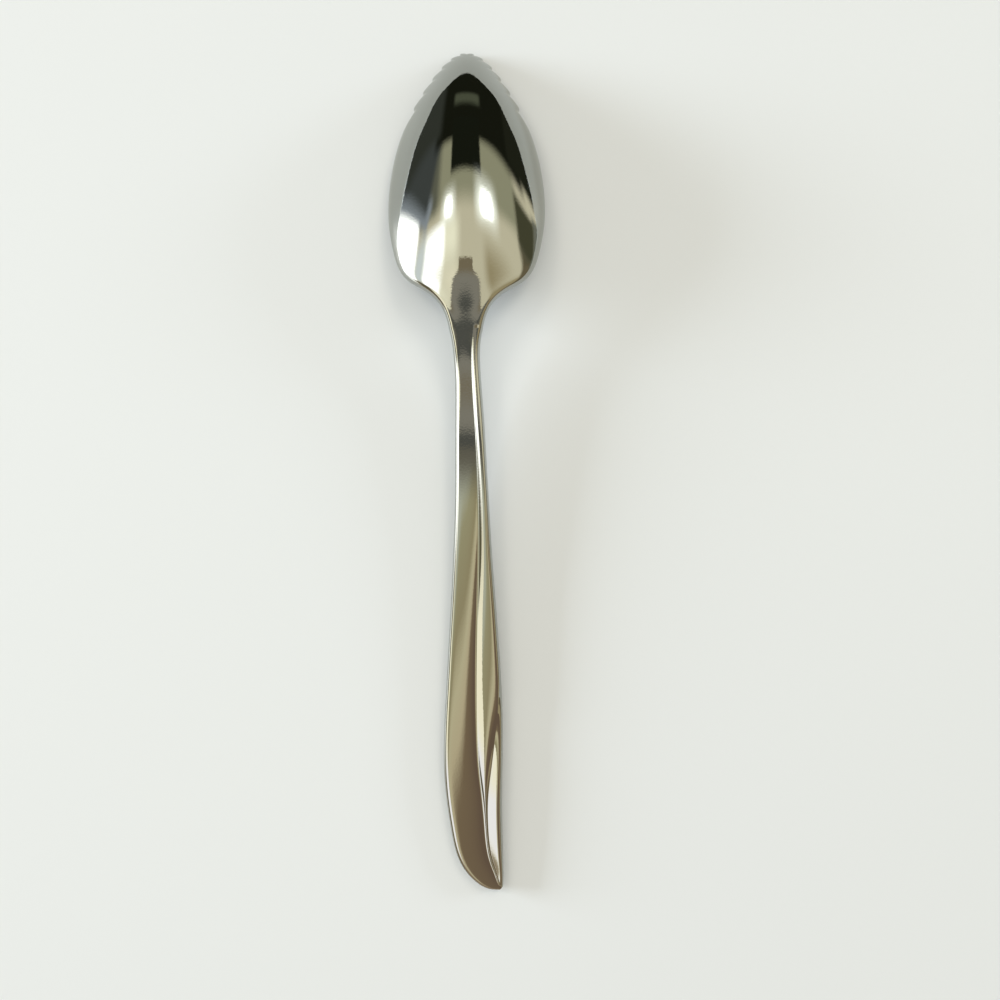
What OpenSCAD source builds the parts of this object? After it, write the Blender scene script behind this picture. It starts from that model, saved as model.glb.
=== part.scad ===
// Grapefruit spoon stamped from one piece of stainless steel.
// It lies back up, on the toothed tip of its bowl and on the tail of its handle.
// +X runs across the spoon, +Y towards the toothed tip and +Z up from the table.

/* [Overall] */
// Length from the toothed tip to the tail of the handle
spoon_l = 152.4; // [140:0.2:180]

/* [Bowl] */
// Length of the bowl, from the plane where it meets the neck
bowl_l = 51.3; // [46:0.1:58]
// Widest width of the bowl
bowl_w = 28.4; // [25:0.1:34]
// Drop from the crown of the bowl to its rim at the widest place
bowl_drop = 8.2; // [6.8:0.1:8.6]
// Height of the bowl's crown over the table, to the middle of the wall
bowl_h = 10.4; // [9.8:0.1:12]
// Thickness of the bowl's wall
bowl_t = 1.2; // [0.8:0.05:1.6]
// Rounding of the bowl's rim
rim_r = 0.45; // [0.25:0.05:0.6]

/* [Teeth] */
// Number of round teeth on each side of the tip
teeth_per_side = 6; // [3:1:7]
// Pitch of the teeth, measured across the spoon
tooth_pitch = 1.66; // [1.2:0.02:1.8]
// Depth of the cusps between the teeth
tooth_d = 0.62; // [0.3:0.02:0.66]

/* [Neck] */
// Narrowest width of the neck
neck_w = 4.6; // [3.8:0.1:6]
// Thickness of the neck
neck_t = 2.7; // [2:0.1:3.4]
// Height of the neck over the table, to the middle of its thickness
neck_h = 3.85; // [3:0.05:5]
// Length of the neck, from the bowl to the handle
neck_l = 16; // [12:0.5:20]

/* [Handle] */
// Widest width of the handle
handle_w = 10.85; // [9:0.05:14]
// Thickness of the handle at its widest place
handle_t = 1.95; // [1.6:0.05:2.6]
// Thickness of the handle at its tail
tail_t = 1.5; // [1.2:0.05:2]
// Rounding of the long edges of the neck and the handle
edge_r = 1.1; // [0.8:0.05:1.3]

/* [Handle relief] */
// Depth of the crease between the panel and the petal
crease_d = 0.3; // [0.1:0.02:0.4]
// Rise of the petal between its two creases
petal_rise = 0.3; // [0.05:0.01:0.35]
// Rise of the bead along the handle's straight edge
bead_rise = 0.2; // [0.05:0.01:0.3]

/* [Hidden] */

handle_l = spoon_l - bowl_l;
tip_y = spoon_l / 2;
neck_y = tip_y - bowl_l;
handle_y = neck_y - neck_l;
bowl_half = bowl_w / 2;
neck_half = neck_w / 2;
handle_half = handle_w / 2;

// Outline of the bowl's right side, from the neck round to the tip. Each row is a place on the edge and the
// root of the rib that reaches it: across as a share of the bowl and of the neck, along, and the root's place
// along the axis.
bowl_outline_shares = [
    [0, 1.04, -0.084, -0.084],
    [0, 1.3, 0, 0],
    [0.114, 1.18, 0.076, 0.068],
    [0.39, 0.66, 0.128, 0.132],
    [0.68, 0.21, 0.166, 0.195],
    [0.857, 0, 0.219, 0.261],
    [0.936, 0, 0.295, 0.337],
    [0.998, 0, 0.399, 0.423],
    [0.98, 0, 0.52, 0.516],
    [0.895, 0, 0.641, 0.611],
    [0.735, 0, 0.753, 0.701],
    [0.56, 0, 0.843, 0.787],
    [0.381, 0, 0.921, 0.867],
    [0.195, 0, 0.979, 0.937],
    [0, 0, 1, 0.98]
];
// Side view of the bowl from the neck to the tip: along, height as a share of the bowl's and of the neck's,
// and the drop of the cross section.
bowl_profile_shares = [
    [0.021, 0.15, 1.04, 0],
    [0.08, 0.275, 0.885, 0.41],
    [0.139, 0.452, 0.636, 0.7],
    [0.198, 0.666, 0.31, 0.8],
    [0.266, 0.853, 0.06, 0.86],
    [0.344, 0.947, 0, 0.92],
    [0.423, 0.986, 0, 1],
    [0.501, 1, 0, 1.08],
    [0.579, 0.995, 0, 1.19],
    [0.658, 0.955, 0, 1.31],
    [0.736, 0.85, 0, 1.46],
    [0.801, 0.725, 0, 1.63],
    [0.86, 0.567, 0, 1.88],
    [0.91, 0.409, 0, 2.18],
    [0.953, 0.252, 0, 2.51],
    [0.984, 0.122, 0, 2.8],
    [1, 0.048, 0, 2.97]
];
// Side view of the handle from its tail to the neck: along from the neck, height as a share of the bowl's
// and of the neck's.
handle_profile_shares = [
    [1, 0, 0.208],
    [0.919, 0, 0.229],
    [0.83, 0, 0.255],
    [0.731, 0, 0.294],
    [0.632, 0, 0.345],
    [0.533, 0, 0.416],
    [0.434, 0, 0.499],
    [0.335, 0, 0.61],
    [0.246, 0, 0.727],
    [0.167, 0, 0.852],
    [0.098, 0, 1],
    [0.044, 0.028, 1.1]
];
// Plan of the neck and the handle, from inside the bowl to the tail's corner. Each row is one cross section:
// where it meets the left and the right edge, its middle as a share of the handle, its half width as a share
// of the neck and of the handle.
handle_plan_shares = [
    [-0.042, -0.042, 0, 2.025, 0],
    [0, 0, 0, 1.3, 0],
    [0.042, 0.042, 0.02, 1.04, 0],
    [0.091, 0.091, 0.069, 1.015, 0],
    [0.154, 0.154, 0.111, 0.9, 0.097],
    [0.229, 0.229, 0.148, 0.75, 0.202],
    [0.308, 0.308, 0.187, 0.55, 0.335],
    [0.389, 0.389, 0.2, 0.35, 0.491],
    [0.469, 0.469, 0.223, 0.18, 0.655],
    [0.55, 0.55, 0.236, 0.07, 0.802],
    [0.631, 0.631, 0.245, 0.02, 0.912],
    [0.707, 0.707, 0.228, 0, 0.979],
    [0.778, 0.778, 0.215, 0, 0.984],
    [0.836, 0.83, 0.252, 0, 0.932],
    [0.884, 0.871, 0.322, 0, 0.868],
    [0.926, 0.907, 0.405, 0, 0.801],
    [0.958, 0.94, 0.532, 0, 0.688],
    [0.982, 0.966, 0.724, 0, 0.508],
    [0.9969, 0.9854, 0.93, 0, 0.299],
    [1.0004, 0.9914, 1.144, 0, 0.081]
];
// Relief of the same cross sections: places of the two creases from -1 at the left edge to 1 at the right,
// depths of the two creases, rise of the petal and rise of the bead.
relief_shares = [
    [0.3, 0.8, 0, 0, 0, 0],
    [0.35, 0.8, 0, 0, 0, 0],
    [0.42, 0.82, 0, 0, 0, 0],
    [0.44, 0.85, 0, 0, 0, 0],
    [0.44, 0.88, 0.15, 0, 0.2, 0],
    [0.37, 0.9, 0.45, 0, 0.4, 0],
    [0.44, 0.92, 0.75, 0, 0.6, 0],
    [0.35, 0.93, 0.9, 0, 0.75, 0],
    [0.2, 0.94, 1, 0, 0.9, 0],
    [0.11, 0.94, 1, 0, 1, 0],
    [0.07, 0.92, 1, 0, 1, 0],
    [0.11, 0.76, 1, 0.35, 0.9, 0.3],
    [0.19, 0.62, 0.9, 0.8, 0.7, 0.7],
    [0.31, 0.48, 0.7, 1, 0.4, 1],
    [0.34, 0.43, 0.7, 1, 0.1, 1],
    [0.33, 0.42, 0.7, 1, 0, 0.9],
    [0.36, 0.465, 0.6, 0.8, 0, 0.7],
    [0.45, 0.58, 0.4, 0.5, 0, 0.4],
    [0.45, 0.6, 0.15, 0.2, 0, 0.1],
    [0.45, 0.6, 0, 0, 0, 0]
];
// Steepening of the bowl's cross section towards the rim
steepen_share = 0.05;
// Height that an edge still has, as a share, one rounding radius in from it
edge_height_share = 0.3;
// Place of a tooth's peak in its pitch: the teeth lean towards the handle
tooth_peak_share = 0.8;
// Depth of the cusp in the middle of the tip, as a share of the others
middle_cusp_share = 0.2;
// Power with which a tooth falls from its peak into its cusps: 2 is round
tooth_fall = 1.6;
// Where the wall's thickness starts and ends its change, along the bowl and along the handle
heel_end_share = 0.34;
thin_neck_share = 0.12;
thin_handle_share = 0.72;

profile_steps = 360;
search_turns = 22;
heel_ribs = 26;
ribs_per_tooth = 6;
flat_columns = 6;
round_columns = 6;
first_turn = 15;
panel_columns = 10;
petal_columns = 6;
bead_columns = 6;
rings_per_row = 3;
neck_rings_per_row = 6;
nose_turns = [30, 60, 84];
probe = bowl_w / 200;
// Least power of a closing curve, and the most of a section that its rounding takes up
least_power = 1.8;
most_rounding_share = 0.6;
// Power with which the panel falls into its crease, and lean of the petal towards it: 1 is even
panel_fall = 5;
petal_lean_share = 0.65;

function lerp(a, b, share) = a + (b - a) * share;
// Rises from 0 at a to 1 at b, smooth in slope and bend
function ease(x, a, b) =
    let (f = max(0, min(1, (x - a) / (b - a))))
    f * f * f * (10 - 15 * f + 6 * f * f);

// Control value of a smooth curve that passes through the rows
function control(rows, i) =
    let (last = len(rows) - 1)
    i < 0 ? 2 * rows[0] - control(rows, 1)
    : i > last ? 2 * rows[last] - control(rows, last - 1)
    : i == 0 || i == last ? rows[i]
    : rows[i] - (rows[i - 1] - 2 * rows[i] + rows[i + 1]) / 6;
// The curve at a place counted in rows
function curve(controls, place) =
    let (last = len(controls) - 3, i = max(0, min(last - 1, floor(place))), f = place - i, g = 1 - f)
    (g * g * g * controls[i]
        + (4 - 6 * f * f + 3 * f * f * f) * controls[i + 1]
        + (4 - 6 * g * g + 3 * g * g * g) * controls[i + 2]
        + f * f * f * controls[i + 3]) / 6;
function controls_of(rows) = [for (i = [-1:len(rows)]) control(rows, i)];

// Side view: rows of place, height and drop of the cross section, from the tail to the tip
profile_rows = concat(
    [for (row = handle_profile_shares) [neck_y - handle_l * row[0], bowl_h * row[1] + neck_h * row[2], 0]],
    [for (row = bowl_profile_shares)
        [neck_y + bowl_l * row[0], bowl_h * row[1] + neck_h * row[2], bowl_drop * row[3]]]
);
profile_controls = controls_of(profile_rows);
profile_span = len(profile_rows) - 1;
profile_curve = [for (i = [0:profile_steps]) curve(profile_controls, i / profile_steps * profile_span)];
heights = [for (p = profile_curve) [p[0], p[1]]];
drops = [for (p = profile_curve) [p[0], p[2]]];

// Middle of the metal at a place on the plan
function middle(x, y) =
    let (across = pow(x / bowl_half, 2))
    lookup(y, heights) - lookup(y, drops) * across * (1 + steepen_share * across) / (1 + steepen_share);
// Steepness there, as the length that a unit of plan takes up on the wall
function stretch(x, y) =
    let (
        rise_x = (middle(x + probe, y) - middle(x - probe, y)) / (2 * probe),
        rise_y = (middle(x, y + probe) - middle(x, y - probe)) / (2 * probe)
    )
    sqrt(1 + rise_x * rise_x + rise_y * rise_y);
// Thickness of the metal, square to its surface
function thickness(y) =
    let (
        heel = ease(y, neck_y - probe, neck_y + bowl_l * heel_end_share),
        shank = ease(neck_y - y, handle_l * thin_neck_share, handle_l * thin_handle_share),
        tail = ease(neck_y - y, handle_l * thin_handle_share, handle_l)
    )
    lerp(lerp(lerp(neck_t, handle_t, shank), tail_t, tail), bowl_t, heel);
function rounding(y) = lerp(edge_r, rim_r, ease(y, neck_y, neck_y + bowl_l * heel_end_share));
// Power of the curve that closes a section whose edge lies at the given reach from its middle
function closing_power(r, reach) =
    max(least_power, ln(edge_height_share) / ln(1 - min(most_rounding_share, r / reach)));
function closing(share, power) = sqrt(max(0, 1 - pow(abs(share), power)));

// Bowl: the right side's outline rows, and the first ones of their mirror image beyond the tip
side_rows = [for (row = bowl_outline_shares)
    [bowl_half * row[0] + neck_half * row[1], neck_y + bowl_l * row[2], neck_y + bowl_l * row[3]]];
tip_row = len(side_rows) - 1;
widest_row = 8;
beyond_tip = [for (i = [1:3]) let (row = side_rows[tip_row - i]) [-row[0], row[1], row[2]]];
outline_controls = controls_of(concat(side_rows, beyond_tip));
function outline_at(place) = curve(outline_controls, place);
// Place on the outline that lies at distance x from the axis, between the widest row and the tip
function place_of(x, low = widest_row, high = tip_row, turns = search_turns) =
    turns == 0 ? (low + high) / 2
    : let (mid = (low + high) / 2) outline_at(mid)[0] > x ? place_of(x, mid, high, turns - 1)
        : place_of(x, low, mid, turns - 1);
toothed_w = teeth_per_side * tooth_pitch;
teeth_place = place_of(toothed_w);
function cusp_depth(k) = tooth_d * (k == 0 ? middle_cusp_share : 1);
function cusp_fall(s) = pow(s, tooth_fall);
// How far the edge lies inside the outline, at distance x from the axis
function inset(x) =
    let (k = floor(x / tooth_pitch), f = x / tooth_pitch - k)
    k >= teeth_per_side
        ? cusp_depth(k) * cusp_fall(1 - min(1, x / tooth_pitch - teeth_per_side))
        : f < tooth_peak_share
            ? cusp_depth(k) * cusp_fall(1 - f / tooth_peak_share)
            : cusp_depth(k + 1) * cusp_fall((f - tooth_peak_share) / (1 - tooth_peak_share));

// Places along the outline at which the ribs stand, from the shoulders to the tip
heel_places = [for (i = [0:heel_ribs - 1]) 1 + (teeth_place - 1) * i / heel_ribs];
tooth_places = [for (i = [teeth_per_side * ribs_per_tooth:-1:1]) place_of(i * tooth_pitch / ribs_per_tooth)];
side_places = concat(heel_places, tooth_places);

// One rib of the bowl: its root on the axis, its end on the toothed edge and the points between them
function rib(place) =
    let (
        edge = outline_at(place),
        root = [0, edge[2]],
        outer = [max(0, edge[0]), edge[1]],
        reach = norm(outer - root),
        end = lerp(outer, root, (place > widest_row ? inset(outer[0]) : 0) / reach),
        power = closing_power(rounding(outer[1]), norm(end - root)),
        first = pow(sin(first_turn), 2 / power),
        shares = concat(
            [for (j = [0:flat_columns - 1]) first * j / flat_columns],
            [for (j = [0:round_columns])
                pow(sin(first_turn + (90 - first_turn) * j / round_columns), 2 / power)])
    )
    [for (share = shares)
        let (p = lerp(root, end, share), m = middle(p[0], p[1]),
            half = thickness(p[1]) / 2 * stretch(p[0], p[1]) * closing(share, power))
        [p[0], p[1], m, half]];
side_ribs = [for (place = side_places) rib(place)];
tip_rib = rib(tip_row);
columns = flat_columns + round_columns;

// Handle: cross sections from the neck's plane to the tail's corner
plan_rows = [for (row = handle_plan_shares)
    [neck_y - handle_l * row[0], neck_y - handle_l * row[1], handle_half * row[2],
        neck_half * row[3] + handle_half * row[4]]];
plan_controls = controls_of(plan_rows);
relief_controls = controls_of(relief_shares);
last_place = len(plan_rows) - 1;
// Rise of the pattern at u, from -1 at the left edge to 1 at the right, with the guides of that section
function relief(u, g) =
    u < g[0] ? -crease_d * g[2] * pow((u + 1) / (g[0] + 1), panel_fall)
    : u < g[1]
        ? let (s = (u - g[0]) / (g[1] - g[0]), crest = pow(s, petal_lean_share))
            -crease_d * lerp(g[2], g[3], s) + petal_rise * g[4] * 4 * crest * (1 - crest)
        : let (s = (u - g[1]) / (1 - g[1]))
            -crease_d * g[3] * (1 - s) * (1 - s) + bead_rise * g[5] * 4 * s * (1 - s);
// Columns across a section: the panel, the petal and the bead
function columns_across(g) = concat(
    [for (j = [0:panel_columns - 1]) -1 + (1 + g[0]) * (1 - cos(90 * j / panel_columns))],
    [for (j = [0:petal_columns - 1]) lerp(g[0], g[1], j / petal_columns)],
    [for (j = [0:bead_columns]) lerp(g[1], 1, sin(90 * j / bead_columns))]
);
// One closed ring: the back from left to right, then the front from right to left
function ring(place, squeeze = 1, push = 0) =
    let (
        row = curve(plan_controls, place),
        g = curve(relief_controls, place),
        left = [row[2] - row[3], row[0]],
        right = [row[2] + row[3], row[1]],
        centre = (left + right) / 2,
        out = [left[1] - right[1], right[0] - left[0]] / norm(right - left),
        reach = norm(right - left) / 2,
        power = closing_power(edge_r, reach),
        us = columns_across(g),
        last = len(us) - 1,
        line = [for (u = us)
            let (p = centre + (right - left) / 2 * u * squeeze - out * push, m = middle(p[0], p[1]),
                half = (thickness(p[1]) / 2 + relief(u, g)) * closing(u, power) * squeeze)
            [p[0], p[1], m, half]]
    )
    concat(
        [for (j = [0:last]) [line[j][0], line[j][1], line[j][2] + line[j][3]]],
        [for (j = [last - 1:-1:1]) [line[j][0], line[j][1], line[j][2] - line[j][3]]]
    );
// The neck starts at its row 1, and the sections are square to the spoon as far as the broad panel's row
neck_row = 1;
panel_row = 6;
// Row place of the section that lies at y, between those rows
function section_place(y, low = neck_row, high = panel_row, turns = search_turns) =
    turns == 0 ? (low + high) / 2
    : let (mid = (low + high) / 2) curve(plan_controls, mid)[0] > y ? section_place(y, mid, high, turns - 1)
        : section_place(y, low, mid, turns - 1);
split_place = section_place(handle_y);
neck_rings = round((split_place - neck_row) * neck_rings_per_row);
handle_rings = round((last_place - split_place) * rings_per_row);
neck_loops = [for (i = [0:neck_rings]) ring(lerp(neck_row, split_place, i / neck_rings))];
// How far the tail's corner is rounded beyond its last section
nose_r = edge_r / 4;
handle_loops = concat(
    [for (i = [0:handle_rings]) ring(lerp(split_place, last_place, i / handle_rings))],
    [for (turn = nose_turns) ring(last_place, cos(turn), nose_r * sin(turn))]
);

// The spoon is tilted until its tip and its tail both touch the table
bowl_middle_y = (neck_y + tip_y) / 2;
tip_low = min([for (r = side_ribs) for (p = r) if (p[1] > bowl_middle_y) p[2] - p[3]]);
tail_low = min([for (r = handle_loops) for (p = r) if (p[1] < 0) p[2]]);
function seat(p) = [p[0], p[1], p[2] - lerp(tail_low, tip_low, (p[1] + tip_y) / spoon_l)];

// Bowl: a wall of even thickness with a rounded rim, cut square where it meets the neck
module bowl() {
    count = len(side_ribs);
    size = columns + 1;
    // Back points of the right ribs, the tip rib and the left ribs, then the front points in the same order
    mirrored = [for (i = [count - 1:-1:0]) [for (p = side_ribs[i]) [-p[0], p[1], p[2], p[3]]]];
    ribs = concat(side_ribs, [tip_rib], mirrored);
    total = len(ribs);
    points = concat(
        [for (r = ribs) for (p = r) seat([p[0], p[1], p[2] + p[3]])],
        [for (r = ribs) for (p = r) seat([p[0], p[1], p[2] - p[3]])]
    );
    // The two ribs of a pair share their root, and back and front share the edge
    function at(i, j, front) =
        let (k = j == 0 && i > count ? 2 * count - i : i)
        k * size + j + (front && j < columns ? total * size : 0);
    quads = [for (i = [0:total - 2]) for (j = [0:columns - 1]) [i, j]];
    back = [for (q = quads) [at(q[0], q[1], false), at(q[0] + 1, q[1], false), at(q[0] + 1, q[1] + 1, false),
        at(q[0], q[1] + 1, false)]];
    front = [for (q = quads) [at(q[0], q[1], true), at(q[0], q[1] + 1, true), at(q[0] + 1, q[1] + 1, true),
        at(q[0] + 1, q[1], true)]];
    heel = concat(
        [for (j = [columns:-1:0]) at(total - 1, j, false)],
        [for (j = [1:columns]) at(0, j, false)],
        [for (j = [columns - 1:-1:0]) at(0, j, true)],
        [for (j = [1:columns - 1]) at(total - 1, j, true)]
    );
    color("gainsboro")
        polyhedron(points, concat(split(back), split(front), [heel]), convexity = 6);
}

// Two triangles for each quad, with corners that fall together left out
function split(quads) = [for (q = quads) for (t = [[q[0], q[1], q[2]], [q[0], q[2], q[3]]])
    if (t[0] != t[1] && t[1] != t[2] && t[0] != t[2]) t];

// A solid through closed rings of equal counts
module loft(loops) {
    size = len(loops[0]);
    last = len(loops) - 1;
    sides = [for (i = [0:last - 1]) for (j = [0:size - 1])
        let (k = (j + 1) % size) [i * size + j, i * size + k, (i + 1) * size + k, (i + 1) * size + j]];
    polyhedron(
        [for (loop = loops) for (p = loop) seat(p)],
        concat(split(sides), [[for (j = [size - 1:-1:0]) j]], [[for (j = [0:size - 1]) last * size + j]]),
        convexity = 4
    );
}

module neck() {
    color("lightgray")
        loft(neck_loops);
}

module handle() {
    color("silver")
        loft(handle_loops);
}

bowl();
neck();
handle();
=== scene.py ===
import math

import bmesh
import bpy
import numpy as np
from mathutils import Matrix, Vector


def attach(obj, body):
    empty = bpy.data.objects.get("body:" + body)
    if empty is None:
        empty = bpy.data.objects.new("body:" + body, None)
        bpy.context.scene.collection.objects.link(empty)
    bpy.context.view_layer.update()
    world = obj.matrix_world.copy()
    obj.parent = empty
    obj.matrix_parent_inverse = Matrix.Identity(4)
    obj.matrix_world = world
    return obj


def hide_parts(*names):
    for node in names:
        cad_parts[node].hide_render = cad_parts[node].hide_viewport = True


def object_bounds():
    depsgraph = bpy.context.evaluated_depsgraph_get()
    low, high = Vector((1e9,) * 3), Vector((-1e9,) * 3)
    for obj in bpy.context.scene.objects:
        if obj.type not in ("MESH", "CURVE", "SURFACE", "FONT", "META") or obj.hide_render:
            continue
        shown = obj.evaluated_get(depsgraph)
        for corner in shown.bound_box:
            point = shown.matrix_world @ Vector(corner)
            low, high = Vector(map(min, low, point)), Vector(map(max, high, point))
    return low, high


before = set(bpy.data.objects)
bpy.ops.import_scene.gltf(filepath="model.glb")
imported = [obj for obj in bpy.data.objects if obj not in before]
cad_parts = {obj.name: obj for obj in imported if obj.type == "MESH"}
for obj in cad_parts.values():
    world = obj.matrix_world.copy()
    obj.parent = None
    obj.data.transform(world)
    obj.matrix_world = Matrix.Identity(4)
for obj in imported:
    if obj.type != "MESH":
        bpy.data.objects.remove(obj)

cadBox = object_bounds()
mm = 0.001
print("frame loaded")


# sizes in mm. The outline and the side view are the solids'; the teeth, the edges and the relief are a little
# sharper here. Rows of numbers are shares of these sizes, and a smooth curve runs through each list of rows.
spoon = {
    "length": 152.4, "bowlLength": 51.3, "bowlWidth": 28.4, "bowlDrop": 8.2, "bowlHeight": 10.4,
    "bowlWall": 1.2, "rimRound": 0.45, "steepen": 0.05,
    "teethPerSide": 6, "toothPitch": 1.66, "toothDepth": 0.74, "toothPeak": 0.75, "toothFall": 1.6,
    "middleCusp": 0.45,
    "neckWidth": 4.6, "neckThickness": 2.7, "neckHeight": 3.85,
    "handleWidth": 10.85, "handleThickness": 1.95, "tailThickness": 1.5, "edgeRound": 0.35,
    # the relief's heights, and the powers of its slopes
    "creaseDepth": 0.3, "panelFall": 5, "petalRise": 0.3, "petalClimb": 2.5, "petalFall": 4,
    "beadRise": 0.5, "beadSlope": 2, "beadFall": 6,
    # where the metal starts and ends to get thinner: mm before the neck's end, then shares of bowl and handle
    "heelStart": 0.14, "heelEnd": 0.34, "thinNeck": 0.12, "thinHandle": 0.72,
    # half widths of the bowl and of the neck, place of the edge along the bowl, place of its root on the middle line
    "bowlOutline": [
        [0, 1.04, -0.084, -0.084], [0, 1.3, 0, 0], [0.114, 1.18, 0.076, 0.068], [0.39, 0.66, 0.128, 0.132],
        [0.68, 0.21, 0.166, 0.195], [0.857, 0, 0.219, 0.261], [0.936, 0, 0.295, 0.337], [0.998, 0, 0.399, 0.423],
        [0.98, 0, 0.52, 0.516], [0.895, 0, 0.641, 0.611], [0.735, 0, 0.753, 0.701], [0.56, 0, 0.843, 0.787],
        [0.381, 0, 0.921, 0.867], [0.195, 0, 0.979, 0.937], [0, 0, 1, 0.98]],
    # place along, share of the bowl's height, share of the neck's height, share of the bowl's drop to its sides
    "bowlProfile": [
        [0.021, 0.15, 1.04, 0], [0.08, 0.275, 0.885, 0.41], [0.139, 0.452, 0.636, 0.7], [0.198, 0.666, 0.31, 0.8],
        [0.266, 0.853, 0.06, 0.86], [0.344, 0.947, 0, 0.92], [0.423, 0.986, 0, 1], [0.501, 1, 0, 1.08],
        [0.579, 0.995, 0, 1.19], [0.658, 0.955, 0, 1.31], [0.736, 0.85, 0, 1.46], [0.801, 0.725, 0, 1.63],
        [0.86, 0.567, 0, 1.88], [0.91, 0.409, 0, 2.18], [0.953, 0.252, 0, 2.51], [0.984, 0.122, 0, 2.8],
        [1, 0.048, 0, 2.97]],
    # place along from the neck to the tail, shares of the bowl's and the neck's height
    "handleProfile": [
        [1, 0, 0.208], [0.919, 0, 0.229], [0.83, 0, 0.255], [0.731, 0, 0.294], [0.632, 0, 0.345],
        [0.533, 0, 0.416], [0.434, 0, 0.499], [0.335, 0, 0.61], [0.246, 0, 0.727], [0.167, 0, 0.852],
        [0.098, 0, 1], [0.044, 0.028, 1.1]],
    # places along the left and the right edge, middle, half widths of the neck and of the handle
    "handlePlan": [
        [-0.042, -0.042, 0, 2.025, 0], [0, 0, 0, 1.3, 0], [0.042, 0.042, 0.02, 1.04, 0],
        [0.091, 0.091, 0.069, 1.015, 0], [0.154, 0.154, 0.111, 0.9, 0.097], [0.229, 0.229, 0.148, 0.75, 0.202],
        [0.308, 0.308, 0.187, 0.55, 0.335], [0.389, 0.389, 0.2, 0.35, 0.491], [0.469, 0.469, 0.223, 0.18, 0.655],
        [0.55, 0.55, 0.236, 0.07, 0.802], [0.631, 0.631, 0.245, 0.02, 0.912], [0.707, 0.707, 0.228, 0, 0.979],
        [0.778, 0.778, 0.215, 0, 0.984], [0.836, 0.83, 0.252, 0, 0.932], [0.884, 0.871, 0.322, 0, 0.868],
        [0.926, 0.907, 0.405, 0, 0.801], [0.958, 0.94, 0.532, 0, 0.688], [0.982, 0.966, 0.724, 0, 0.508],
        [0.9969, 0.9854, 0.93, 0, 0.299], [1.0004, 0.9914, 1.144, 0, 0.081]],
    # places of the two creases across, depths of the two creases, rise of the petal, rise of the bead
    "relief": [
        [0.5, 0.8, 0, 0, 0, 0], [0.45, 0.8, 0, 0, 0.1, 0], [0.36, 0.82, 0.1, 0, 0.5, 0],
        [0.3, 0.85, 0.2, 0, 0.75, 0], [0.32, 0.88, 0.3, 0, 0.8, 0], [0.38, 0.9, 0.5, 0, 0.8, 0],
        [0.38, 0.92, 0.7, 0, 0.8, 0], [0.33, 0.93, 0.9, 0, 0.85, 0], [0.2, 0.94, 1, 0, 0.9, 0],
        [0.11, 0.94, 1, 0, 1, 0], [0.07, 0.92, 1, 0, 1, 0], [0.11, 0.76, 1, 0.35, 0.9, 0.3],
        [0.19, 0.62, 0.9, 0.8, 0.7, 0.7], [0.31, 0.48, 0.7, 1, 0.4, 1], [0.34, 0.43, 0.7, 1, 0.1, 1],
        [0.33, 0.42, 0.7, 1, 0, 0.9], [0.36, 0.465, 0.6, 0.8, 0, 0.7], [0.45, 0.58, 0.4, 0.5, 0, 0.4],
        [0.45, 0.6, 0.15, 0.2, 0, 0.1], [0.45, 0.6, 0, 0, 0, 0]],
    # how fine the mesh is, and the shares of its columns that the panel and the petal get
    "columns": 36, "panelColumns": 0.375, "petalColumns": 0.25, "creasedFrom": 1, "creasedTo": 5,
    "handleRows": 300, "heelRows": 110, "rowsPerTooth": 22, "noseRows": 6, "profileSteps": 12000,
    "edgeTurn": 15, "noseTurn": 88,
}


# control rows of a smooth curve (a cubic B-spline) that runs through the rows
def controlsThrough(rows):
    rows = np.array(rows, float)
    controls = rows.copy()
    controls[1:-1] -= (rows[:-2] - 2 * rows[1:-1] + rows[2:]) / 6
    return np.vstack([2 * rows[0] - controls[1], controls, 2 * rows[-1] - controls[-2]])


def curveAt(controls, place):
    i = int(max(0, min(len(controls) - 4, math.floor(place))))
    f = place - i
    g = 1 - f
    return (g ** 3 * controls[i] + (4 - 6 * f * f + 3 * f ** 3) * controls[i + 1]
            + (4 - 6 * g * g + 3 * g ** 3) * controls[i + 2] + f ** 3 * controls[i + 3]) / 6


def mix(a, b, share):
    return a + (b - a) * share


def ease(x, a, b):
    f = np.clip((x - a) / (b - a), 0, 1)
    return f * f * f * (10 - 15 * f + 6 * f * f)


# side view: height and drop of the middle of the metal at each place along the spoon
tipY = spoon["length"] / 2
neckY = tipY - spoon["bowlLength"]
handleLength = spoon["length"] - spoon["bowlLength"]
bowlHalf = spoon["bowlWidth"] / 2
neckHalf = spoon["neckWidth"] / 2
handleHalf = spoon["handleWidth"] / 2
heelEndY = neckY + spoon["bowlLength"] * spoon["heelEnd"]

profileRows = [[neckY - handleLength * r[0], spoon["bowlHeight"] * r[1] + spoon["neckHeight"] * r[2], 0]
               for r in spoon["handleProfile"]]
profileRows += [[neckY + spoon["bowlLength"] * r[0], spoon["bowlHeight"] * r[1] + spoon["neckHeight"] * r[2],
                 spoon["bowlDrop"] * r[3]] for r in spoon["bowlProfile"]]
profileControls = controlsThrough(profileRows)
profileSamples = np.array([curveAt(profileControls, place)
                           for place in np.linspace(0, len(profileRows) - 1, spoon["profileSteps"] + 1)])


def middleOf(x, y):
    across = (x / bowlHalf) ** 2
    height = np.interp(y, profileSamples[:, 0], profileSamples[:, 1])
    drop = np.interp(y, profileSamples[:, 0], profileSamples[:, 2])
    return height - drop * across * (1 + spoon["steepen"] * across) / (1 + spoon["steepen"])


# how much thicker a sloping wall is when it is measured straight up
def stretchOf(x, y, probe=0.15):
    riseX = (middleOf(x + probe, y) - middleOf(x - probe, y)) / (2 * probe)
    riseY = (middleOf(x, y + probe) - middleOf(x, y - probe)) / (2 * probe)
    return np.sqrt(1 + riseX ** 2 + riseY ** 2)


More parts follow.
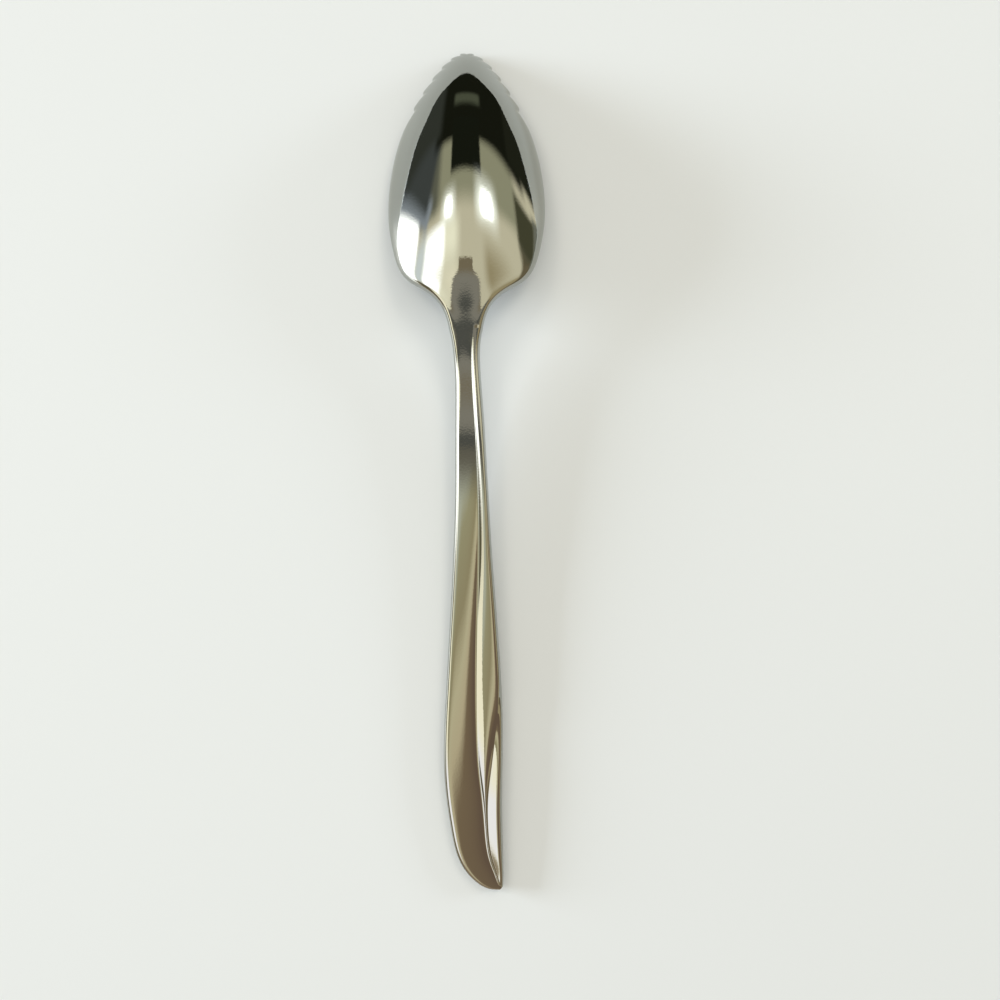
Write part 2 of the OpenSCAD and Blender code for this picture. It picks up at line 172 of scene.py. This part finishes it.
def thicknessOf(y):
    heel = ease(y, neckY - spoon["heelStart"], heelEndY)
    back = neckY - y
    shank = ease(back, handleLength * spoon["thinNeck"], handleLength * spoon["thinHandle"])
    tail = ease(back, handleLength * spoon["thinHandle"], handleLength)
    metal = mix(mix(spoon["neckThickness"], spoon["handleThickness"], shank), spoon["tailThickness"], tail)
    return mix(metal, spoon["bowlWall"], heel)


def roundingOf(y):
    return mix(spoon["edgeRound"], spoon["rimRound"], ease(y, neckY, heelEndY))


# power that rounds the cross section's edge off over the last of its reach; the narrowest tip stays round
def closingPower(rounding, reach, roundest=1.8, fullness=0.3, widest=0.6):
    return max(roundest, math.log(fullness) / math.log(1 - min(widest, rounding / reach)))


# outline of the bowl with its teeth
outlineRows = [[bowlHalf * r[0] + neckHalf * r[1], neckY + spoon["bowlLength"] * r[2],
                neckY + spoon["bowlLength"] * r[3]] for r in spoon["bowlOutline"]]
tipPlace = len(outlineRows) - 1
widestPlace = 8  # row of the outline past the widest place, from which it only gets narrower
# the outline runs on past the tip, mirrored, so that it turns there smoothly
outlineControls = controlsThrough(outlineRows + [[-r[0], r[1], r[2]] for r in outlineRows[-2:-5:-1]])


# place on the outline where the bowl is this far out from its middle line
def placeAcross(x, halvings=40):
    low, high = widestPlace, tipPlace
    for halving in range(halvings):
        half = (low + high) / 2
        if curveAt(outlineControls, half)[0] > x:
            low = half
        else:
            high = half
    return (low + high) / 2


def cuspDepth(k):
    return spoon["toothDepth"] * (1 if k else spoon["middleCusp"])


def cuspFall(s):
    return s ** spoon["toothFall"]


# how far the teeth cut in from the outline: k counts the teeth from the tip, and f runs over one tooth
def insetOf(x):
    along = x / spoon["toothPitch"]
    k = int(along)
    f = along - k
    peak = spoon["toothPeak"]
    if k >= spoon["teethPerSide"]:
        return cuspDepth(k) * cuspFall(1 - min(1, along - spoon["teethPerSide"]))
    if f < peak:
        return cuspDepth(k) * cuspFall(1 - f / peak)
    return cuspDepth(k + 1) * cuspFall((f - peak) / (1 - peak))


# shares of the way from the root to the edge, closer together towards the rounded edge
def sharesToEdge(power):
    flat = spoon["columns"] // 2
    first = math.sin(math.radians(spoon["edgeTurn"])) ** (2 / power)
    turns = np.radians(np.linspace(spoon["edgeTurn"], 90, spoon["columns"] - flat + 1))
    return np.concatenate([first * np.arange(flat) / flat, np.sin(turns) ** (2 / power)])


def closing(share, power):
    return np.sqrt(np.clip(1 - np.abs(share) ** power, 0, 1))


# one ring round the metal: back from the right edge to the left edge, then front from left to right
def ringFrom(right, left):
    back = np.vstack([right[::-1], left[1:]])
    front = np.vstack([left[-2:0:-1], right[:-1]])
    top = np.column_stack([back[:, 0], back[:, 1], back[:, 2] + back[:, 3]])
    under = np.column_stack([front[:, 0], front[:, 1], front[:, 2] - front[:, 3]])
    return np.vstack([top, under])


def bowlRing(place):
    edge = curveAt(outlineControls, place)
    root = np.array([0, edge[2]])
    outer = np.array([max(0, edge[0]), edge[1]])
    reach = np.linalg.norm(outer - root)
    end = outer
    if place > widestPlace:
        end = mix(outer, root, insetOf(outer[0]) / reach)
    power = closingPower(roundingOf(outer[1]), np.linalg.norm(end - root))
    shares = sharesToEdge(power)
    points = root + np.outer(shares, end - root)
    x, y = points[:, 0], points[:, 1]
    half = thicknessOf(y) / 2 * stretchOf(x, y) * closing(shares, power)
    right = np.column_stack([x, y, middleOf(x, y), half])
    left = right * [-1, 1, 1, 1]
    return ringFrom(right, left)


planControls = controlsThrough([[neckY - handleLength * r[0], neckY - handleLength * r[1], handleHalf * r[2],
                                 neckHalf * r[3] + handleHalf * r[4]] for r in spoon["handlePlan"]])
reliefControls = controlsThrough(spoon["relief"])
lastPlace = len(spoon["handlePlan"]) - 1


# height of the relief across the handle, from u = -1 at the left edge to 1 at the right: panel, petal, bead
def reliefAt(u, guide):
    creaseA, creaseB, depthA, depthB, petalShare, beadShare = guide
    top, deep = spoon["petalRise"] * petalShare, spoon["creaseDepth"]
    panel = -deep * depthA * np.clip((u + 1) / (creaseA + 1), 0, 1) ** spoon["panelFall"]
    s = np.clip((u - creaseA) / (creaseB - creaseA), 0, 1)
    climb = 1 - (1 - s) ** spoon["petalClimb"]
    brink = depthB * s ** spoon["petalFall"]
    petal = top * climb * (1 - brink) - deep * (depthA * (1 - climb) + brink)
    t = np.clip((u - creaseB) / (1 - creaseB), 0, 1)
    bead = ((1 - t) ** spoon["beadSlope"] * (top * (1 - depthB) - deep * depthB)
            + spoon["beadRise"] * beadShare * t * (1 - t ** spoon["beadFall"]))
    return np.where(u < creaseA, panel, np.where(u < creaseB, petal, bead))


# columns of the handle follow its creases; next to the bowl they are the bowl's. Squeeze and push make the last
# rings smaller and move them out past the tail, so that the tail's end is round
def handleRing(place, squeeze=1, push=0):
    row = curveAt(planControls, place)
    guide = curveAt(reliefControls, place)
    leftEnd = np.array([row[2] - row[3], row[0]])
    rightEnd = np.array([row[2] + row[3], row[1]])
    span = rightEnd - leftEnd
    out = np.array([leftEnd[1] - rightEnd[1], span[0]]) / np.linalg.norm(span)
    power = closingPower(spoon["edgeRound"], np.linalg.norm(span) / 2)
    shares = sharesToEdge(power)
    plain = np.concatenate([-shares[::-1], shares[1:]])
    count = len(plain) - 1
    panel = int(count * spoon["panelColumns"])
    petal = int(count * spoon["petalColumns"])
    bead = count - panel - petal
    creased = np.concatenate([
        -1 + (1 + guide[0]) * (1 - np.cos(np.radians(90) * np.arange(panel) / panel)),
        mix(guide[0], guide[1], np.arange(petal) / petal),
        mix(guide[1], 1, np.sin(np.radians(90) * np.arange(bead + 1) / bead))])
    u = mix(plain, creased, float(ease(place, spoon["creasedFrom"], spoon["creasedTo"])))
    points = (leftEnd + rightEnd) / 2 + np.outer(u * squeeze, span / 2) - out * push
    x, y = points[:, 0], points[:, 1]
    half = (thicknessOf(y) / 2 * stretchOf(x, y) + reliefAt(u, guide)) * closing(u, power) * squeeze
    line = np.column_stack([x, y, middleOf(x, y), half])
    middleColumn = count // 2
    return ringFrom(line[middleColumn:], line[middleColumn::-1])


# all rings from the tail to the tip: the tail's rounded end, the handle, the heel of the bowl, the teeth
def spoonRings():
    rings = []
    for turn in np.linspace(spoon["noseTurn"], spoon["edgeTurn"], spoon["noseRows"]):
        angle = math.radians(turn)
        rings.append(handleRing(lastPlace, math.cos(angle), spoon["edgeRound"] / 4 * math.sin(angle)))
    for place in np.linspace(lastPlace, 1, spoon["handleRows"]):
        rings.append(handleRing(place))
    teethStart = placeAcross(spoon["teethPerSide"] * spoon["toothPitch"])
    for place in np.linspace(1, teethStart, spoon["heelRows"])[1:]:
        rings.append(bowlRing(place))
    toothSteps = spoon["teethPerSide"] * spoon["rowsPerTooth"]
    for step in range(toothSteps - 1, 0, -1):
        rings.append(bowlRing(placeAcross(step * spoon["toothPitch"] / spoon["rowsPerTooth"])))
    rings.append(bowlRing(tipPlace))
    return np.array(rings)


# the spoon rests on its tip and its tail, and fills the box of the solids
def seated(rings):
    y, z = rings[:, :, 1], rings[:, :, 2]
    tipLow = z[y > neckY + spoon["bowlLength"] / 2].min()  # front half of the bowl
    tailLow = z[y < -handleLength / 4].min()  # back half of the handle
    rings[:, :, 2] -= mix(tailLow, tipLow, (y + tipY) / spoon["length"])
    low, high = rings.min(axis=(0, 1)), rings.max(axis=(0, 1))
    boxLow, boxHigh = np.array(cadBox[0]) / mm, np.array(cadBox[1]) / mm
    return boxLow + (rings - low) * (boxHigh - boxLow) / (high - low)


def addObject(name, bm):
    mesh = bpy.data.meshes.new(name)
    bm.to_mesh(mesh)
    bm.free()
    piece = bpy.data.objects.new(name, mesh)
    bpy.context.scene.collection.objects.link(piece)
    return piece


# only points that fall on each other are welded: the grid's first and last columns, and both sides at the tip
def buildSpoon(weldDistance=0.0000001):
    rings = seated(spoonRings())
    rows, around = rings.shape[:2]
    bm = bmesh.new()
    bmesh.ops.create_grid(bm, x_segments=rows - 1, y_segments=around, size=1)
    # the grid's rows become the rings, and its last column falls on its first
    for vert in bm.verts:
        row = round((vert.co.x + 1) / 2 * (rows - 1))
        column = round((vert.co.y + 1) / 2 * around) % around
        vert.co = Vector(rings[row, column] * mm)
    bmesh.ops.remove_doubles(bm, verts=bm.verts, dist=weldDistance)
    bmesh.ops.holes_fill(bm, edges=[edge for edge in bm.edges if edge.is_boundary], sides=0)
    bmesh.ops.recalc_face_normals(bm, faces=bm.faces)
    for face in bm.faces:
        face.smooth = True
    return addObject("spoon", bm)


def linear(hexColor, strength=1):
    parts = [int(hexColor[i:i + 2], 16) / 255 for i in (1, 3, 5)]
    return tuple(strength * (c / 12.92 if c <= 0.04045 else ((c + 0.055) / 1.055) ** 2.4) for c in parts) + (1,)


def addMaterial(piece, name):
    material = bpy.data.materials.new(name)
    material.use_nodes = True
    piece.data.materials.append(material)
    return material.node_tree


def addNode(tree, kind, settings=None, links=None):
    node = tree.nodes.new(kind)
    for name, value in (settings or {}).items():
        if isinstance(name, int) or name in node.inputs:
            node.inputs[name].default_value = value
        else:
            setattr(node, name, value)
    for name, source in (links or {}).items():
        tree.links.new(source, node.inputs[name])
    return node


spoonPiece = buildSpoon()
print("spoon built:", len(spoonPiece.data.polygons), "faces")

# stainless steel, stamped and polished by machine: a clear mirror, dulled a little by wear. The wear's own
# scratches are too fine for the picture, so its grain is drawn 0.33 mm apart, 3000 to the metre, and 2.5 microns high
polished = {"color": "#aeb0ab", "roughness": 0.03, "grainScale": 3000, "grainDetail": 3, "grainHeight": 2.5e-6}
tree = addMaterial(spoonPiece, "polishedStainlessSteel")
shader = tree.nodes["Principled BSDF"]
shader.inputs["Base Color"].default_value = linear(polished["color"])
shader.inputs["Metallic"].default_value = 1
shader.inputs["Roughness"].default_value = polished["roughness"]
coordinates = addNode(tree, "ShaderNodeTexCoord")
grain = addNode(tree, "ShaderNodeTexNoise", {"Scale": polished["grainScale"], "Detail": polished["grainDetail"]},
                {"Vector": coordinates.outputs["Object"]})
bump = addNode(tree, "ShaderNodeBump", {"Strength": 1, "Distance": polished["grainHeight"]},
               {"Height": grain.outputs[0]})
tree.links.new(bump.outputs[0], shader.inputs["Normal"])
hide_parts("bowl", "neck", "handle")
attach(spoonPiece, "root")
print("steel made")

# table: white laminate, nearly matt; size is half its side in metres
table = {"color": "#e6e8e2", "size": 1.5, "roughness": 0.38, "gloss": 0.15}
bm = bmesh.new()
bmesh.ops.create_grid(bm, x_segments=1, y_segments=1, size=table["size"])
tableTop = addObject("tableTop", bm)
shader = addMaterial(tableTop, "whiteLaminate").nodes["Principled BSDF"]
shader.inputs["Base Color"].default_value = linear(table["color"])
shader.inputs["Roughness"].default_value = table["roughness"]
shader.inputs["Specular IOR Level"].default_value = table["gloss"]
print("table made")

# painted reflections for the polished steel, in a made-up room that only glossy rays see. A direction counts as a
# place on a disc: the middle is straight up, the edge is the horizon, and north, where the spoon's tip points, is at
# the top.
# Each patch has two corners, an edge width, a turn in degrees, its painted colour as the steel shows it and a
# strength. The table and the camera see the plain light.
room = {
    "plain": "#f5f4f0", "plainStrength": 0.65,
    "steelGain": 2.3,  # makes up for the light that the steel takes
    "reflectedCeiling": "#b8b19a",
    "paintedReflections": [
        ((-0.7, 0.11), (0.64, 0.5), 0.05, 0, "#87856f", 1),
        ((-0.7, 0.1), (-0.36, 0.5), 0.05, 0, "#57574b", 1),
        ((0.2, -0.4), (0.66, -0.03), 0.05, 0, "#8d8164", 1),
        ((-0.33, -0.07), (-0.1, 0.05), 0.06, 0, "#e6e2cb", 1),
        ((-1.3, -1.3), (1.3, -0.3), 0.12, 0, "#806e5a", 1),
        ((-0.44, -0.3), (-0.1, -0.09), 0.03, 0, "#ece4cb", 1),
        ((-0.46, -0.3), (-0.1, -0.185), 0.03, 0, "#e9e5e8", 1),
        ((-0.7, -1.3), (-0.42, -0.055), 0.03, 0, "#57523f", 1),
        ((-1.6, -0.3), (-0.72, -0.03), 0.04, 0, "#eef0ee", 1),
        # painted reflections of windows on the left
        ((-1.6, -0.06), (-0.6, 0.6), 0.03, 0, "#ffffff", 1.6),
        ((-0.5, -0.06), (-0.26, 0.035), 0.03, 0, "#ffffff", 1.4),
        ((-0.6, -0.04), (-0.49, 0.05), 0.04, 0, "#c4cacb", 1),
        ((-1.6, -0.22), (-0.45, -0.1), 0.03, -32, "#82888f", 1),
        ((-1.6, -0.17), (-0.5, 0.6), 0.04, -32, "#3a3d3c", 1),
        ((-0.47, 0.32), (0.78, 1.3), 0.04, 0, "#14150e", 1),
        ((0.6, 0.36), (1.3, 1.3), 0.03, 0, "#1c1d15", 1),
        ((-0.9, 0.38), (-0.4, 1.3), 0.06, 0, "#2e302b", 1),
        ((-0.21, 0.19), (0.2, 0.5), 0.015, 0, "#14160f", 1),
        ((-0.21, 0.62), (0.22, 0.72), 0.035, 0, "#45483a", 1),
        ((0.64, -0.7), (1.6, 0.1), 0.04, 0, "#5f5643", 1),
        ((0.86, 0.02), (1.6, 0.3), 0.03, 0, "#65665c", 1),
        ((0.62, 0.07), (0.88, 0.27), 0.03, 0, "#3f3e2e", 1),
        # painted highlights: two white spots, each in a paler patch, standing for lamps overhead
        ((-0.29, 0.05), (-0.15, 0.13), 0.05, 0, "#f4f6ee", 1.2),
        ((-0.255, 0.07), (-0.19, 0.115), 0.03, 0, "#ffffff", 4),
        ((0.13, 0.05), (0.36, 0.16), 0.06, 0, "#f4f6ee", 1.2),
        ((0.19, 0.075), (0.31, 0.135), 0.035, 0, "#ffffff", 4),
    ],
}
world = bpy.data.worlds.new("room")
bpy.context.scene.world = world
world.use_nodes = True
tree = world.node_tree
tree.nodes.clear()
coordinates = addNode(tree, "ShaderNodeTexCoord")
direction = addNode(tree, "ShaderNodeSeparateXYZ", links={"Vector": coordinates.outputs["Generated"]})
# a little over 1, so that straight down isn't divided by nothing
lift = addNode(tree, "ShaderNodeMath", {"operation": "ADD", 1: 1.001}, {0: direction.outputs["Z"]})
east = addNode(tree, "ShaderNodeMath", {"operation": "DIVIDE"}, {0: direction.outputs["X"], 1: lift.outputs[0]})
north = addNode(tree, "ShaderNodeMath", {"operation": "DIVIDE"}, {0: direction.outputs["Y"], 1: lift.outputs[0]})
disc = addNode(tree, "ShaderNodeCombineXYZ", links={"X": east.outputs[0], "Y": north.outputs[0]})

# painted reflection that lies under all the patches
reflectedCeiling = addNode(tree, "ShaderNodeRGB")
reflectedCeiling.outputs[0].default_value = linear(room["reflectedCeiling"], room["steelGain"])
shade = reflectedCeiling.outputs[0]
softStep = {"interpolation_type": "SMOOTHSTEP"}
for low, high, soft, turn, hexColor, strength in room["paintedReflections"]:
    turned = addNode(tree, "ShaderNodeVectorRotate", {"rotation_type": "Z_AXIS", "Angle": math.radians(-turn)},
                     {"Vector": disc.outputs[0]})
    spot = addNode(tree, "ShaderNodeSeparateXYZ", links={"Vector": turned.outputs[0]})
    mask = None
    for axis, outside, inside in (("X", low[0] - soft, low[0] + soft), ("X", high[0] + soft, high[0] - soft),
                                  ("Y", low[1] - soft, low[1] + soft), ("Y", high[1] + soft, high[1] - soft)):
        side = addNode(tree, "ShaderNodeMapRange", {**softStep, "From Min": outside, "From Max": inside},
                       {"Value": spot.outputs[axis]})
        if mask:
            side = addNode(tree, "ShaderNodeMath", {"operation": "MULTIPLY"}, {0: mask, 1: side.outputs[0]})
        mask = side.outputs[0]
    patch = addNode(tree, "ShaderNodeMix", {"data_type": "RGBA", 7: linear(hexColor, strength * room["steelGain"])},
                    {0: mask, 6: shade})
    shade = patch.outputs[2]
# the steel's painted reflections, seen only by glossy rays
mirrored = addNode(tree, "ShaderNodeBackground", links={"Color": shade})
plain = addNode(tree, "ShaderNodeBackground", {"Color": linear(room["plain"]), "Strength": room["plainStrength"]})
rays = addNode(tree, "ShaderNodeLightPath")
either = addNode(tree, "ShaderNodeMixShader", links={0: rays.outputs["Is Glossy Ray"], 1: plain.outputs[0],
                                                     2: mirrored.outputs[0]})
addNode(tree, "ShaderNodeOutputWorld", links={"Surface": either.outputs[0]})
print("room made")


# painted reflections: a card that glows, close over the handle and seen only in the steel, standing in for dark
# things over the spoon; its colours are painted as the steel shows them. Its corners are in mm, its stripes lie side
# by side and its bands, in metres along the spoon, lie over them one after the other
card = {
    "height": 155,
    "body": ((-27, 9), (-72, 0), (-88, -60), (-50, -115), (-50, -200), (130, -200), (130, -30), (70, 0), (19, 9)),
    "head": ((-27, 9), (19, 9), (19, 17), (-27, 17)),
    "stripesFrom": -0.14, "stripesTo": 0.055,
    # painted reflection stripes that the handle's edges and faces show
    "stripes": ((0, "#a8a99e"), (0.25, "#a3a392"), (0.35, "#928c70"), (0.55, "#8b8165"), (0.66, "#b0a78a"),
                (0.74, "#ada084"), (0.8, "#6f5f4b"), (1, "#5f4f42")),
    "bendFrom": -0.086, "bendSlope": 0.85, "bendGrowth": 6,
    # painted reflection bands, darker and lighter, that the neck and the bowl's heel show
    "bands": (("#5c584e", -0.025, -0.006), ("#474743", -0.006, -0.0025), ("#77736a", -0.0018, 0.002),
              ("#6d6350", 0.004, 0.01)),
}
bm = bmesh.new()
for corners in (card["body"], card["head"]):
    bm.faces.new([bm.verts.new((x * mm, y * mm, card["height"] * mm)) for x, y in corners])
reflectionCard = addObject("reflectionCard", bm)
reflectionCard.visible_camera = False
reflectionCard.visible_diffuse = False
reflectionCard.visible_shadow = False
tree = addMaterial(reflectionCard, "paintedReflectionGlow")
tree.nodes.clear()
coordinates = addNode(tree, "ShaderNodeTexCoord")
place = addNode(tree, "ShaderNodeSeparateXYZ", links={"Vector": coordinates.outputs["Object"]})
# the stripes bend away to the left towards the tail
behind = addNode(tree, "ShaderNodeMath", {"operation": "ADD", 1: -card["bendFrom"]}, {0: place.outputs["Y"]})
bend = addNode(tree, "ShaderNodeMath", {"operation": "MULTIPLY_ADD", 1: card["bendGrowth"], 2: card["bendSlope"]},
               {0: behind.outputs[0]})
drift = addNode(tree, "ShaderNodeMath", {"operation": "MULTIPLY"}, {0: behind.outputs[0], 1: bend.outputs[0]})
across = addNode(tree, "ShaderNodeMath", {"operation": "SUBTRACT"}, {0: place.outputs["X"], 1: drift.outputs[0]})
share = addNode(tree, "ShaderNodeMapRange", {"From Min": card["stripesFrom"], "From Max": card["stripesTo"]},
                {"Value": across.outputs[0]})
stripes = addNode(tree, "ShaderNodeValToRGB", links={0: share.outputs[0]})
ramp = stripes.color_ramp
ramp.elements.remove(ramp.elements[1])
for i, (position, hexColor) in enumerate(card["stripes"]):
    stop = ramp.elements.new(position) if i else ramp.elements[0]
    stop.position = position
    stop.color = linear(hexColor)
shade = stripes.outputs[0]
for hexColor, low, high in card["bands"]:
    mask = addNode(tree, "ShaderNodeMapRange", {**softStep, "From Min": low, "From Max": high},
                   {"Value": place.outputs["Y"]})
    band = addNode(tree, "ShaderNodeMix", {"data_type": "RGBA", 7: linear(hexColor)}, {0: mask.outputs[0], 6: shade})
    shade = band.outputs[2]
# the card glows with its painted reflection colours, though it is no lamp; it lights nothing else
glow = addNode(tree, "ShaderNodeEmission", {"Strength": room["steelGain"]}, {"Color": shade})
addNode(tree, "ShaderNodeOutputMaterial", links={"Surface": glow.outputs[0]})
print("card made")

# lamps for the shadows: low windows on the left and the right, and two lamps overhead towards the tip. Each has its
# place, width and height in metres, its watts and its colour
lamps = {
    "windowLeft": ((-1.58, 0.25, 0.24), 0.7, 0.32, 45, "#e2edff"),
    "windowRight": ((1.5, 0.46, 0.32), 0.6, 0.25, 9, "#e2edff"),
    "lampLeft": ((-0.9, 0.75, 1.0), 0.5, 0.5, 3.5, "#fff6ec"),
    "lampRight": ((0.6, 0.9, 1.0), 0.5, 0.5, 3.5, "#fff6ec"),
}
for name, (place, width, height, watts, hexColor) in lamps.items():
    light = bpy.data.lights.new(name, "AREA")
    light.shape = "RECTANGLE"
    light.size, light.size_y, light.energy = width, height, watts
    light.color = linear(hexColor)[:3]
    lamp = bpy.data.objects.new(name, light)
    lamp.location = place
    lamp.rotation_euler = (-Vector(place)).to_track_quat("-Z", "Y").to_euler()
    # the steel doesn't mirror these lamps; its highlights are painted in the room
    lamp.visible_glossy = False
    bpy.context.scene.collection.objects.link(lamp)
print("lamps made")

# camera straight over the table; its distance, the width of table that it shows and its place are in mm
view = {"distance": 150, "width": 183.4, "x": 6.04, "y": -5.35}
camera = bpy.data.cameras.new("camera")
camera.lens = camera.sensor_width * view["distance"] / view["width"]
cameraObject = bpy.data.objects.new("camera", camera)
cameraObject.location = (view["x"] * mm, view["y"] * mm, view["distance"] * mm)
bpy.context.scene.collection.objects.link(cameraObject)
bpy.context.scene.camera = cameraObject
bpy.context.scene.view_settings.view_transform = "Standard"
